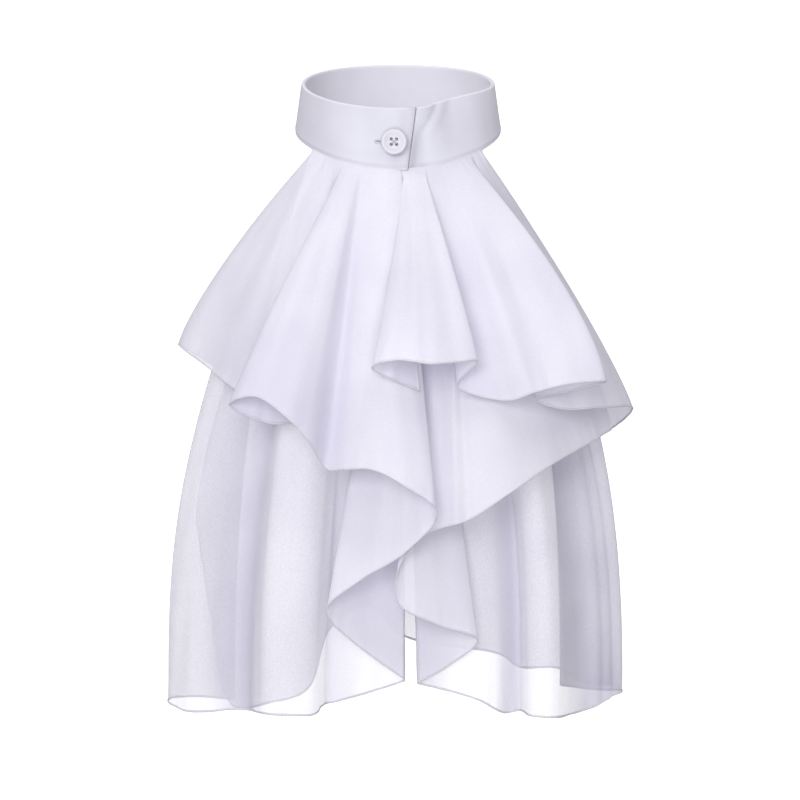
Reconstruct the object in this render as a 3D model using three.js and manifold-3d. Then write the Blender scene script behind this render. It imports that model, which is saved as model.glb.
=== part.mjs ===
// A jabot: a stand neckband closed at the front by one button, and chiffon ruffles that hang from it.
// Lengths are in millimetres. Z is up, the wearer faces -Y, +X is the viewer's right.
// The origin is the centre of the neckband, on the line of the neck.
import * as THREE from 'three';
import Module from 'manifold-3d';

const wasm = await Module();
wasm.setup();
const { Manifold, Mesh } = wasm;

const degrees = Math.PI / 180;

// Neckband. Half widths are to the outer face. Angles start at the front and grow towards the viewer's right.
// rimHeight is how high the rim is at the sides. rimTilt and rimArch lower it at the front.
// The pull is where the button draws the rim in beside the lap.
const topHalfWidth = 56.6;
const topHalfLength = 59;
const bottomHalfWidth = 60.6;
const bottomHalfLength = 63;
const rimHeight = 18.1;
const rimTilt = 14.1;
const rimArch = 1.8;
const bandHeightBack = 29;
const bandHeightExtraFront = 6.4;
const bandWall = 2.6;
const lapGap = 0.3;
const underEndAngle = -24.5;
const lapEndAngleTop = 11;
const lapEndAngleBottom = 5.5;
const insetFromAngle = 13;
const insetToAngle = 58;
const pullFromAngle = 11;
const pullMostAngle = 38;
const pullToAngle = 85;
const pullDepth = 8;
const pullLift = 2;
const bandSteps = 60;
const faceSteps = 2;
const edgeSteps = 3;

// Button, and the hole in the lap that it passes through.
const buttonAcross = 15;
const buttonThickness = 2.9;
const buttonRim = 1.5;
const buttonEdge = 0.7;
const buttonWell = 0.7;
const buttonBackWell = 1.4;
const buttonBackWellAcross = 9;
const buttonBackWellSlope = 0.7;
const buttonSides = 36;
const buttonAngle = -2.1;
const buttonUp = 0.45;
const buttonClear = 0.9;
const holeAcross = 1.7;
const holeSpacing = 3;
const holeSides = 12;
const threadAcross = 0.7;
const threadSides = 8;
const threadRise = 0.35;
const shankWidth = 2.4;
const shankHeight = 0.9;
const buttonholeLength = 17;
const buttonholeHeight = 1.7;
const buttonholeSteps = 8;

// Ruffles. The cloth swings forward by the power forwardLead sooner than it swings sideways.
// downBunching is the power by which rows of faces crowd towards the seam, where the cloth bends most.
const seamHalfAngle = 56;
const seamGap = 0.3;
const spread = 135;
const reach = 115;
const fullDrop = 315;
const clothWall = 1;
const layerGap = 0.35;
const firstLayerDepth = 0.2;
const layerPitch = clothWall + layerGap;
const forwardLead = 1.25;
const downBunching = 1.35;

// Each row of a hem table is a place along the hem, in order from one free edge to the other.
// seam: where the cloth above it joins the neckband, as a share of seamHalfAngle.
// across, forward, drop: where the hem is, as shares of spread, reach and fullDrop.
// bulge: above 1 the cloth swings out early and hangs down after, below 1 it hangs first and swings out late.
const leftRuffleHem = [
  { seam: -0.980, across: -0.836, forward: -0.035, drop: 0.378, bulge: 1.27 },
  { seam: -0.950, across: -0.954, forward: 0.122, drop: 0.323, bulge: 1.27 },
  { seam: -0.900, across: -0.824, forward: 0.383, drop: 0.356, bulge: 1.27 },
  { seam: -0.820, across: -0.679, forward: 0.609, drop: 0.397, bulge: 1.20 },
  { seam: -0.740, across: -0.536, forward: 0.713, drop: 0.425, bulge: 1.15 },
  { seam: -0.660, across: -0.417, forward: 0.774, drop: 0.445, bulge: 1.10 },
  { seam: -0.585, across: -0.532, forward: 0.843, drop: 0.450, bulge: 1.10 },
  { seam: -0.520, across: -0.699, forward: 0.913, drop: 0.414, bulge: 1.10 },
  { seam: -0.475, across: -0.588, forward: 0.991, drop: 0.398, bulge: 1.10 },
  { seam: -0.430, across: -0.464, forward: 1.017, drop: 0.432, bulge: 1.10 },
  { seam: -0.385, across: -0.383, forward: 0.983, drop: 0.471, bulge: 1.10 },
  { seam: -0.340, across: -0.295, forward: 0.861, drop: 0.531, bulge: 1.10 },
  { seam: -0.300, across: -0.219, forward: 0.904, drop: 0.530, bulge: 1.10 },
  { seam: -0.255, across: -0.107, forward: 0.975, drop: 0.528, bulge: 1.10 },
  { seam: -0.210, across: 0.029, forward: 1.022, drop: 0.556, bulge: 1.05 },
  { seam: -0.165, across: 0.162, forward: 0.975, drop: 0.605, bulge: 1.00 },
  { seam: -0.125, across: 0.030, forward: 0.890, drop: 0.679, bulge: 1.00 },
  { seam: -0.085, across: -0.159, forward: 0.830, drop: 0.732, bulge: 1.00 },
  { seam: -0.045, across: -0.302, forward: 0.765, drop: 0.790, bulge: 1.00 },
  { seam: 0.000, across: -0.202, forward: 0.680, drop: 0.846, bulge: 1.00 },
  { seam: 0.045, across: 0.025, forward: 0.625, drop: 0.921, bulge: 1.00 },
];

const rightRuffleHem = [
  { seam: 0.050, across: 0.091, forward: 0.900, drop: 0.390, bulge: 0.75 },
  { seam: 0.080, across: -0.012, forward: 0.950, drop: 0.371, bulge: 0.75 },
  { seam: 0.110, across: -0.111, forward: 1.010, drop: 0.347, bulge: 0.75 },
  { seam: 0.145, across: -0.012, forward: 1.080, drop: 0.332, bulge: 0.80 },
  { seam: 0.180, across: 0.131, forward: 1.090, drop: 0.338, bulge: 0.90 },
  { seam: 0.215, across: 0.263, forward: 1.026, drop: 0.335, bulge: 1.00 },
  { seam: 0.250, across: 0.330, forward: 0.965, drop: 0.335, bulge: 1.10 },
  { seam: 0.300, across: 0.244, forward: 0.896, drop: 0.381, bulge: 1.10 },
  { seam: 0.360, across: 0.341, forward: 0.852, drop: 0.401, bulge: 1.10 },
  { seam: 0.440, across: 0.465, forward: 0.861, drop: 0.408, bulge: 1.10 },
  { seam: 0.530, across: 0.567, forward: 0.922, drop: 0.392, bulge: 1.15 },
  { seam: 0.630, across: 0.710, forward: 0.957, drop: 0.376, bulge: 1.28 },
  { seam: 0.730, across: 0.865, forward: 0.896, drop: 0.373, bulge: 1.40 },
  { seam: 0.780, across: 0.724, forward: 0.817, drop: 0.392, bulge: 1.35 },
  { seam: 0.815, across: 0.573, forward: 0.783, drop: 0.409, bulge: 1.25 },
  { seam: 0.845, across: 0.688, forward: 0.730, drop: 0.427, bulge: 1.20 },
  { seam: 0.885, across: 0.859, forward: 0.557, drop: 0.429, bulge: 1.15 },
  { seam: 0.930, across: 1.013, forward: 0.243, drop: 0.439, bulge: 1.17 },
  { seam: 0.960, across: 0.893, forward: -0.052, drop: 0.496, bulge: 1.50 },
];

const rightCascadeHem = [
  { seam: 0.050, across: 0.085, forward: 0.591, drop: 0.929, bulge: 1.00 },
  { seam: 0.110, across: 0.216, forward: 0.609, drop: 0.897, bulge: 1.00 },
  { seam: 0.180, across: 0.338, forward: 0.670, drop: 0.848, bulge: 1.00 },
  { seam: 0.280, across: 0.164, forward: 0.757, drop: 0.815, bulge: 1.00 },
  { seam: 0.400, across: 0.000, forward: 0.826, drop: 0.772, bulge: 1.00 },
  { seam: 0.460, across: 0.013, forward: 0.852, drop: 0.700, bulge: 1.00 },
  { seam: 0.500, across: 0.133, forward: 0.878, drop: 0.644, bulge: 1.00 },
  { seam: 0.550, across: 0.291, forward: 0.896, drop: 0.621, bulge: 1.00 },
  { seam: 0.620, across: 0.466, forward: 0.861, drop: 0.573, bulge: 1.05 },
  { seam: 0.710, across: 0.637, forward: 0.730, drop: 0.529, bulge: 1.15 },
  { seam: 0.810, across: 0.815, forward: 0.504, drop: 0.494, bulge: 1.25 },
  { seam: 0.900, across: 0.918, forward: 0.330, drop: 0.475, bulge: 1.25 },
];

const lowerLeftHem = [
  { seam: -1.000, across: -0.718, forward: -0.017, drop: 0.997, bulge: 2.40 },
  { seam: -0.960, across: -0.870, forward: 0.035, drop: 0.988, bulge: 2.40 },
  { seam: -0.910, across: -1.001, forward: 0.191, drop: 0.984, bulge: 2.40 },
  { seam: -0.860, across: -0.917, forward: 0.365, drop: 0.995, bulge: 2.30 },
  { seam: -0.805, across: -0.797, forward: 0.452, drop: 0.991, bulge: 2.20 },
  { seam: -0.755, across: -0.722, forward: 0.496, drop: 0.985, bulge: 2.15 },
  { seam: -0.690, across: -0.652, forward: 0.643, drop: 0.983, bulge: 2.05 },
  { seam: -0.620, across: -0.572, forward: 0.748, drop: 0.977, bulge: 1.90 },
  { seam: -0.520, across: -0.454, forward: 0.765, drop: 0.978, bulge: 1.75 },
  { seam: -0.430, across: -0.362, forward: 0.713, drop: 0.981, bulge: 1.60 },
  { seam: -0.360, across: -0.318, forward: 0.591, drop: 0.972, bulge: 1.45 },
  { seam: -0.290, across: -0.273, forward: 0.539, drop: 0.969, bulge: 1.35 },
  { seam: -0.200, across: -0.183, forward: 0.557, drop: 0.957, bulge: 1.20 },
  { seam: -0.100, across: -0.068, forward: 0.583, drop: 0.941, bulge: 1.10 },
  { seam: 0.030, across: 0.030, forward: 0.574, drop: 0.927, bulge: 1.00 },
];

const lowerRightHem = [
  { seam: 0.070, across: 0.081, forward: 0.557, drop: 0.933, bulge: 1.00 },
  { seam: 0.170, across: 0.242, forward: 0.591, drop: 0.948, bulge: 1.20 },
  { seam: 0.250, across: 0.357, forward: 0.583, drop: 0.965, bulge: 1.45 },
  { seam: 0.310, across: 0.422, forward: 0.522, drop: 0.981, bulge: 1.65 },
  { seam: 0.360, across: 0.472, forward: 0.409, drop: 0.992, bulge: 1.80 },
  { seam: 0.420, across: 0.520, forward: 0.548, drop: 0.989, bulge: 1.90 },
  { seam: 0.480, across: 0.577, forward: 0.617, drop: 0.990, bulge: 2.00 },
  { seam: 0.550, across: 0.649, forward: 0.617, drop: 0.992, bulge: 2.10 },
  { seam: 0.615, across: 0.712, forward: 0.522, drop: 0.996, bulge: 2.20 },
  { seam: 0.690, across: 0.791, forward: 0.383, drop: 0.999, bulge: 2.30 },
  { seam: 0.770, across: 0.873, forward: 0.296, drop: 0.989, bulge: 2.40 },
  { seam: 0.835, across: 0.940, forward: 0.252, drop: 0.977, bulge: 2.45 },
  { seam: 0.885, across: 0.977, forward: 0.139, drop: 0.969, bulge: 2.50 },
  { seam: 0.935, across: 0.851, forward: 0.043, drop: 0.965, bulge: 2.50 },
  { seam: 0.985, across: 0.711, forward: 0.017, drop: 0.957, bulge: 2.50 },
];

const underHem = [
  { seam: -0.800, across: -0.876, forward: 0.174, drop: 0.648, bulge: 1.50 },
  { seam: -0.720, across: -0.810, forward: 0.243, drop: 0.822, bulge: 1.80 },
  { seam: -0.620, across: -0.716, forward: 0.348, drop: 0.986, bulge: 2.10 },
  { seam: -0.500, across: -0.550, forward: 0.400, drop: 0.978, bulge: 1.90 },
  { seam: -0.370, across: -0.387, forward: 0.400, drop: 0.952, bulge: 1.65 },
  { seam: -0.270, across: -0.287, forward: 0.400, drop: 0.838, bulge: 1.50 },
  { seam: -0.120, across: -0.129, forward: 0.383, drop: 0.799, bulge: 1.20 },
  { seam: 0.020, across: 0.030, forward: 0.383, drop: 0.856, bulge: 1.00 },
  { seam: 0.380, across: 0.438, forward: 0.383, drop: 0.889, bulge: 1.70 },
  { seam: 0.460, across: 0.520, forward: 0.383, drop: 0.912, bulge: 1.80 },
  { seam: 0.600, across: 0.688, forward: 0.365, drop: 0.916, bulge: 2.00 },
  { seam: 0.700, across: 0.795, forward: 0.296, drop: 0.945, bulge: 2.15 },
  { seam: 0.820, across: 0.930, forward: 0.191, drop: 0.956, bulge: 2.30 },
];

// layer: how many cloths lie outside this one at the seam.
// perRow: columns of faces for each span between two rows. down: rows of faces from the seam to the hem.
const ruffles = [
  { name: 'left_ruffle', hem: leftRuffleHem, layer: 0, perRow: 3, down: 8 },
  { name: 'right_ruffle', hem: rightRuffleHem, layer: 0, perRow: 3, down: 8 },
  { name: 'right_cascade', hem: rightCascadeHem, layer: 1, perRow: 3, down: 8 },
  { name: 'lower_ruffle_left', hem: lowerLeftHem, layer: 1, perRow: 3, down: 8 },
  { name: 'lower_ruffle_right', hem: lowerRightHem, layer: 2, perRow: 3, down: 8 },
  { name: 'under_ruffle', hem: underHem, layer: 3, perRow: 2, down: 7 },
];

const looks = {
  chiffon: { color: 0xf1f0f8, roughness: 0.85, metalness: 0 },
  band: { color: 0xe6e4ee, roughness: 0.75, metalness: 0 },
  button: { color: 0xeeedf4, roughness: 0.35, metalness: 0 },
  thread: { color: 0xf0eff6, roughness: 0.8, metalness: 0 },
};

const mix = (a, b, share) => a + (b - a) * share;

function smooth(from, to, value) {
  const share = Math.min(1, Math.max(0, (value - from) / (to - from)));
  return share * share * (3 - 2 * share);
}

function bandTop(angle) {
  const forward = Math.cos(angle * degrees);
  return rimHeight - rimTilt * forward - rimArch * forward * forward;
}

function bandHeight(angle) {
  return bandHeightBack + bandHeightExtraFront * Math.max(0, Math.cos(angle * degrees)) ** 2;
}

// A place on the neckband: up from its lower edge as a share of its height, and in from its outer face.
function bandPlace(angle, up, depth) {
  const width = mix(bottomHalfWidth, topHalfWidth, up) - depth;
  const length = mix(bottomHalfLength, topHalfLength, up) - depth;
  const bottom = bandTop(angle) - bandHeight(angle);
  const x = width * Math.sin(angle * degrees);
  const y = -length * Math.cos(angle * degrees);
  return [x, y, bottom + up * bandHeight(angle)];
}

// The outline of the strip, as pairs of up and depth in millimetres, with rounded edges.
function bandSection(height) {
  const round = bandWall / 2;
  const section = [];
  for (let i = 0; i <= faceSteps; i += 1) {
    section.push([mix(round, height - round, i / faceSteps), 0]);
  }
  for (let i = 1; i <= edgeSteps; i += 1) {
    const turn = (i / (edgeSteps + 1)) * Math.PI;
    section.push([height - round + round * Math.sin(turn), round - round * Math.cos(turn)]);
  }
  for (let i = 0; i <= faceSteps; i += 1) {
    section.push([mix(height - round, round, i / faceSteps), bandWall]);
  }
  for (let i = 1; i <= edgeSteps; i += 1) {
    const turn = (i / (edgeSteps + 1)) * Math.PI;
    section.push([round - round * Math.sin(turn), round + round * Math.cos(turn)]);
  }
  return section;
}

// Joins a list of equal closed sections into one closed body with flat ends.
function sweep(sections) {
  const count = sections[0].length;
  const places = sections.flat();
  const faces = [];
  for (let i = 0; i + 1 < sections.length; i += 1) {
    for (let j = 0; j < count; j += 1) {
      const next = (j + 1) % count;
      const a = i * count + j;
      const b = i * count + next;
      faces.push([a, a + count, b + count], [a, b + count, b]);
    }
  }
  const first = THREE.ShapeUtils.triangulateShape(flatten(sections[0]), []);
  const last = (sections.length - 1) * count;
  for (const [a, b, c] of first) {
    faces.push([a, b, c]);
    faces.push([last + a, last + c, last + b]);
  }
  return solid(places, faces);
}

// The section seen along its own normal, for filling its end.
function flatten(section) {
  const middle = new THREE.Vector3();
  const places = section.map((place) => new THREE.Vector3(...place));
  places.forEach((place) => middle.addScaledVector(place, 1 / places.length));
  const normal = new THREE.Vector3();
  places.forEach((place, i) => {
    const next = places[(i + 1) % places.length];
    normal.add(place.clone().sub(middle).cross(next.clone().sub(middle)));
  });
  normal.normalize();
  const along = places[0].clone().sub(middle).cross(normal).normalize();
  const up = normal.clone().cross(along);
  return places.map((place) => {
    const from = place.clone().sub(middle);
    return new THREE.Vector2(from.dot(along), from.dot(up));
  });
}

// A closed body from places and triangles, turned so that its faces point out.
function solid(places, faces) {
  const build = (list) => {
    const made = new Mesh({
      numProp: 3,
      vertProperties: new Float32Array(places.flat()),
      triVerts: new Uint32Array(list.flat()),
    });
    made.merge();
    return new Manifold(made);
  };
  const body = build(faces);
  return body.volume() > 0 ? body : build(faces.map(([a, b, c]) => [a, c, b]));
}

function geometryOf(body) {
  const mesh = body.getMesh();
  const geometry = new THREE.BufferGeometry();
  geometry.setAttribute('position', new THREE.BufferAttribute(mesh.vertProperties.slice(), 3));
  geometry.setIndex(new THREE.BufferAttribute(mesh.triVerts.slice(), 1));
  return geometry;
}

function meshOf(name, body, look) {
  const faceted = geometryOf(body).toNonIndexed();
  faceted.computeVertexNormals();
  const mesh = new THREE.Mesh(faceted, new THREE.MeshStandardMaterial(look));
  mesh.name = name;
  return mesh;
}

// The button pulls the rim straight beside the lap: 0 at both ends of the pull, 1 in its middle.
function bandPull(angle) {
  return smooth(pullFromAngle, pullMostAngle, angle) * (1 - smooth(pullMostAngle, pullToAngle, angle));
}

// Neckband: one strip from the hidden under end, once round the neck, to the lap's end at the front.
function bandSweepPlace(share, up, depth) {
  const lapEnd = 360 + mix(lapEndAngleBottom, lapEndAngleTop, up);
  const angle = mix(underEndAngle, lapEnd, share);
  const inset = (bandWall + lapGap) * (1 - smooth(insetFromAngle, insetToAngle, angle));
  const pull = up * bandPull(angle);
  const [x, y, z] = bandPlace(angle, up, depth + inset + pull * pullDepth);
  return [x, y, z + pull * pullLift];
}

function bandBody() {
  const sections = [];
  for (let i = 0; i <= bandSteps; i += 1) {
    const share = i / bandSteps;
    const height = bandHeight(mix(underEndAngle, 360, share));
    const section = bandSection(height).map(([up, depth]) => bandSweepPlace(share, up / height, depth));
    sections.push(section);
  }
  return sweep(sections);
}

const buttonholeHalfAngle = (buttonholeLength / 2 / bottomHalfLength) / degrees;
const frontHeight = bandHeight(buttonAngle);
const frontSlope = Math.atan2(bottomHalfLength - topHalfLength, frontHeight);

// How far up the band the button's axis is at a given depth: it runs square to the sloping face.
function axisUp(depth) {
  return buttonUp - (depth + buttonClear) * Math.tan(frontSlope) / frontHeight;
}

// The cutter for the buttonhole: it goes through the lap and stops in the gap behind it.
function buttonholeCutter() {
  const sections = [];
  const tall = buttonholeHeight / frontHeight / 2;
  const inside = bandWall + lapGap / 2;
  const outside = -bandWall;
  for (let i = 0; i <= buttonholeSteps; i += 1) {
    const angle = buttonAngle + mix(-buttonholeHalfAngle, buttonholeHalfAngle, i / buttonholeSteps);
    sections.push([
      bandPlace(angle, axisUp(outside) - tall, outside),
      bandPlace(angle, axisUp(outside) + tall, outside),
      bandPlace(angle, axisUp(inside) + tall, inside),
      bandPlace(angle, axisUp(inside) - tall, inside),
    ]);
  }
  return sweep(sections);
}

// Button, made flat with its face up, then turned to face the front.
function buttonBody() {
  const half = buttonAcross / 2;
  const well = half - buttonRim;
  const backWell = buttonBackWellAcross / 2;
  const outline = [
    [0, buttonBackWell],
    [backWell - buttonBackWellSlope, buttonBackWell],
    [backWell, 0],
    [half - buttonEdge, 0],
    [half, buttonEdge],
    [half, buttonThickness - buttonEdge],
    [half - buttonEdge, buttonThickness],
    [well + buttonEdge, buttonThickness],
    [well - buttonEdge / 2, buttonThickness - buttonWell],
    [0, buttonThickness - buttonWell],
  ];
  let body = Manifold.revolve([outline], buttonSides);
  const drill = Manifold.cylinder(buttonThickness * 2, holeAcross / 2, holeAcross / 2, holeSides);
  for (const [x, y] of holePlaces()) {
    body = body.subtract(drill.translate([x, y, -buttonThickness / 2]));
  }
  return body;
}

function holePlaces() {
  const out = holeSpacing / 2;
  return [[out, out], [-out, out], [-out, -out], [out, -out]];
}

// Thread: two stitches that cross on the button's face, a leg down each hole, and a flat shank behind.
function threadBody() {
  const face = buttonThickness - buttonWell;
  const long = Math.hypot(holeSpacing, holeSpacing);
  const half = threadAcross / 2;
  const back = buttonBackWell - threadRise - threadAcross;
  const legTop = face + threadRise + threadAcross;
  const parts = [];
  for (const turn of [45, -45]) {
    const bar = Manifold.cube([long + threadAcross, threadAcross, threadAcross], true);
    parts.push(bar.rotate([0, 0, turn]).translate([0, 0, face + threadRise + half]));
    parts.push(bar.rotate([0, 0, turn]).translate([0, 0, back + half]));
  }
  for (const [x, y] of holePlaces()) {
    parts.push(Manifold.cylinder(legTop - back, half, half, threadSides).translate([x, y, back]));
  }
  const shankLength = (buttonClear + bandWall) * Math.cos(frontSlope) + back + half;
  const shank = Manifold.cube([shankWidth, shankHeight, shankLength], true);
  parts.push(shank.translate([0, 0, back + half - shankLength / 2]));
  return Manifold.union(parts);
}

// Where the button sits: on the lap, facing out along the band's own slope.
function buttonFrame() {
  const place = new THREE.Vector3(...bandPlace(buttonAngle, buttonUp, -buttonClear));
  const frame = new THREE.Matrix4().makeTranslation(place.x, place.y, place.z);
  frame.multiply(new THREE.Matrix4().makeRotationZ(buttonAngle * degrees));
  frame.multiply(new THREE.Matrix4().makeRotationX(Math.PI / 2 - frontSlope));
  return frame;
}

// Ruffles: straight rulings from the seam to the hem, bent by the bulge.
const seamFront = bandTop(0) - bandHeight(0) - seamGap;

function seamPlace(share, layer) {
  const angle = share * seamHalfAngle;
  const [x, y, z] = bandPlace(angle, 0, firstLayerDepth + layer * layerPitch);
  return new THREE.Vector3(x, y, z - seamGap);
}

function hemPlace(row) {
  return new THREE.Vector3(row.across * spread, -row.forward * reach, seamFront - row.drop * fullDrop);
}

// A smooth curve through the rows, with the square root of the distance between two rows as its step.
function alongHem(rows) {
  const names = ['seam', 'across', 'forward', 'drop', 'bulge'];
  const list = rows.map((row) => names.map((name) => row[name]));
  const ahead = list[0].map((value, i) => 2 * value - list[1][i]);
  const n = list.length;
  const behind = list[n - 1].map((value, i) => 2 * value - list[n - 2][i]);
  const all = [ahead, ...list, behind];
  const apart = (a, b) => {
    const dx = (a[1] - b[1]) * spread;
    const dy = (a[2] - b[2]) * reach;
    const dz = (a[3] - b[3]) * fullDrop;
    return Math.sqrt(Math.hypot(dx, dy, dz));
  };
  return (index, share) => {
    const [p0, p1, p2, p3] = all.slice(index, index + 4);
    const t1 = apart(p0, p1);
    const t2 = t1 + apart(p1, p2);
    const t3 = t2 + apart(p2, p3);
    const t = mix(t1, t2, share);
    const value = {};
    names.forEach((name, i) => {
      const a1 = mix(p0[i], p1[i], t / t1);
      const a2 = mix(p1[i], p2[i], (t - t1) / (t2 - t1));
      const a3 = mix(p2[i], p3[i], (t - t2) / (t3 - t2));
      const b1 = mix(a1, a2, t / t2);
      const b2 = mix(a2, a3, (t - t1) / (t3 - t1));
      value[name] = mix(b1, b2, (t - t1) / (t2 - t1));
    });
    return value;
  };
}

function swing(share, bulge) {
  return bulge >= 1 ? 1 - (1 - share) ** bulge : share ** (1 / bulge);
}

function ruffleMiddle(ruffle) {
  const curve = alongHem(ruffle.hem);
  const spans = ruffle.hem.length - 1;
  const columns = [];
  for (let i = 0; i <= spans * ruffle.perRow; i += 1) {
    const index = Math.min(Math.floor(i / ruffle.perRow), spans - 1);
    const row = curve(index, i / ruffle.perRow - index);
    const from = seamPlace(row.seam, ruffle.layer);
    const to = hemPlace(row);
    const column = [];
    for (let j = 0; j <= ruffle.down; j += 1) {
      const share = (j / ruffle.down) ** downBunching;
      const out = swing(share, row.bulge);
      const forward = swing(share, row.bulge * forwardLead);
      const x = mix(from.x, to.x, out);
      const y = mix(from.y, to.y, forward);
      column.push(new THREE.Vector3(x, y, mix(from.z, to.z, share)));
    }
    columns.push(column);
  }
  return columns;
}

// Gives a grid of places the cloth's thickness, half of it to each side, and closes its edges.
function clothBody(grid) {
  const wide = grid.length;
  const tall = grid[0].length;
  const front = [];
  const back = [];
  grid.forEach((column, i) => {
    column.forEach((place, j) => {
      const left = grid[Math.max(i - 1, 0)][j];
      const right = grid[Math.min(i + 1, wide - 1)][j];
      const above = column[Math.max(j - 1, 0)];
      const below = column[Math.min(j + 1, tall - 1)];
      const side = right.clone().sub(left);
      const normal = side.cross(below.clone().sub(above)).normalize();
      front.push(place.clone().addScaledVector(normal, clothWall / 2).toArray());
      back.push(place.clone().addScaledVector(normal, -clothWall / 2).toArray());
    });
  });
  const count = wide * tall;
  const at = (i, j) => i * tall + j;
  const faces = [];
  const quad = (a, b, c, d) => faces.push([a, b, c], [a, c, d]);
  for (let i = 0; i + 1 < wide; i += 1) {
    for (let j = 0; j + 1 < tall; j += 1) {
      quad(at(i, j), at(i, j + 1), at(i + 1, j + 1), at(i + 1, j));
      quad(count + at(i, j), count + at(i + 1, j), count + at(i + 1, j + 1), count + at(i, j + 1));
    }
  }
  for (let i = 0; i + 1 < wide; i += 1) {
    quad(at(i, 0), at(i + 1, 0), count + at(i + 1, 0), count + at(i, 0));
    quad(at(i + 1, tall - 1), at(i, tall - 1), count + at(i, tall - 1), count + at(i + 1, tall - 1));
  }
  for (let j = 0; j + 1 < tall; j += 1) {
    quad(at(0, j + 1), at(0, j), count + at(0, j), count + at(0, j + 1));
    quad(at(wide - 1, j), at(wide - 1, j + 1), count + at(wide - 1, j + 1), count + at(wide - 1, j));
  }
  return solid([...front, ...back], faces);
}

const group = new THREE.Group();
group.name = 'jabot';

group.add(meshOf('neckband', bandBody().subtract(buttonholeCutter()), looks.band));

const fastening = new THREE.Group();
fastening.name = 'fastening';
fastening.applyMatrix4(buttonFrame());
fastening.add(meshOf('button', buttonBody(), looks.button));
fastening.add(meshOf('button_thread', threadBody(), looks.thread));
group.add(fastening);

for (const ruffle of ruffles) {
  group.add(meshOf(ruffle.name, clothBody(ruffleMiddle(ruffle)), looks.chiffon));
}

export default group;
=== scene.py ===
import math

import bmesh
import bpy
import numpy as np
from mathutils import Matrix, Vector


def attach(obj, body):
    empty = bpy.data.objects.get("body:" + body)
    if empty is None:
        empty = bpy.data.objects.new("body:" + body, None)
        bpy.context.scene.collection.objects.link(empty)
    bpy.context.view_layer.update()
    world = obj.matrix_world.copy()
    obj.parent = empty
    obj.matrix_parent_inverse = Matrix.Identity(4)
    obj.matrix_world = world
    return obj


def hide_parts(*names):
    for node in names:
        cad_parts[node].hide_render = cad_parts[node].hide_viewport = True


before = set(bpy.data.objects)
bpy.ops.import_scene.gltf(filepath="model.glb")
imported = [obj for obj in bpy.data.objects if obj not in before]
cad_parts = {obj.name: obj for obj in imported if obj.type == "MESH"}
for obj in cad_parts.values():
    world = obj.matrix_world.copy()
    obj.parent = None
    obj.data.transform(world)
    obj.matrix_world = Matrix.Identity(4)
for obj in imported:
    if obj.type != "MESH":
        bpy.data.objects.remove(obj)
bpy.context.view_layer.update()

# Lengths are in millimetres until a mesh is made. Z is up, the wearer faces -Y, +X is the viewer's right.
MM = 0.001

# Neckband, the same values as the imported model's.
TOP_HALF_WIDTH = 56.6
TOP_HALF_LENGTH = 59.0
BOTTOM_HALF_WIDTH = 60.6
BOTTOM_HALF_LENGTH = 63.0
RIM_HEIGHT = 18.1
RIM_TILT = 14.1
RIM_ARCH = 1.8
BAND_HEIGHT_BACK = 29.0
BAND_HEIGHT_EXTRA_FRONT = 6.4
BAND_WALL = 2.6
LAP_GAP = 0.3
UNDER_END_ANGLE = -24.5
LAP_END_ANGLE_TOP = 11.0
LAP_END_ANGLE_BOTTOM = 5.5
INSET_FROM_ANGLE = 13.0
INSET_TO_ANGLE = 58.0
PULL_FROM_ANGLE = 11.0
PULL_MOST_ANGLE = 38.0
PULL_TO_ANGLE = 85.0
PULL_DEPTH = 8.0
PULL_LIFT = 2.0

# Button.
BUTTON_ACROSS = 15.0
BUTTON_THICKNESS = 2.9
BUTTON_WELL = 0.7
BUTTON_BACK_WELL = 1.4
BUTTON_ANGLE = -2.1
BUTTON_UP = 0.45
BUTTON_CLEAR = 0.9
HOLE_ACROSS = 1.7
HOLE_SPACING = 3.0

# Ruffles.
SEAM_HALF_ANGLE = 56.0
SPREAD = 135.0
REACH = 115.0
FULL_DROP = 315.0
SEAM_GAP = 0.3
FORWARD_LEAD = 1.25
FIRST_LAYER_DEPTH = 0.5
LAYER_PITCH = 0.6
SEAM_TUCK = 1.2
SEAM_INSET_FROM = -8.0
SEAM_INSET_TO = 6.0

# Columns of the tables: seam, across, forward, drop, bulge, one row for each place along a hem.
LEFT_RUFFLE_HEM = [
    (-0.970, -0.700, -0.035, 0.395, 1.27),
    (-0.950, -0.954, 0.122, 0.323, 1.27),
    (-0.900, -0.824, 0.383, 0.356, 1.27),
    (-0.820, -0.679, 0.609, 0.397, 1.20),
    (-0.740, -0.536, 0.713, 0.425, 1.15),
    (-0.660, -0.417, 0.774, 0.445, 1.10),
    (-0.585, -0.532, 0.843, 0.450, 1.10),
    (-0.520, -0.699, 0.913, 0.414, 1.10),
    (-0.475, -0.588, 0.991, 0.398, 1.10),
    (-0.430, -0.464, 1.017, 0.432, 1.10),
    (-0.385, -0.383, 0.983, 0.471, 1.10),
    (-0.340, -0.295, 0.861, 0.531, 1.10),
    (-0.300, -0.219, 0.904, 0.530, 1.10),
    (-0.180, -0.107, 0.975, 0.528, 1.10),
    (-0.070, 0.029, 1.022, 0.556, 1.05),
    (0.020, 0.162, 0.975, 0.605, 1.00),
    (0.026, 0.030, 0.890, 0.679, 1.00),
    (0.031, -0.159, 0.830, 0.732, 1.00),
    (0.036, -0.302, 0.765, 0.790, 1.00),
    (0.041, -0.202, 0.680, 0.846, 1.00),
    (0.046, 0.025, 0.625, 0.921, 1.00),
]
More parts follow.
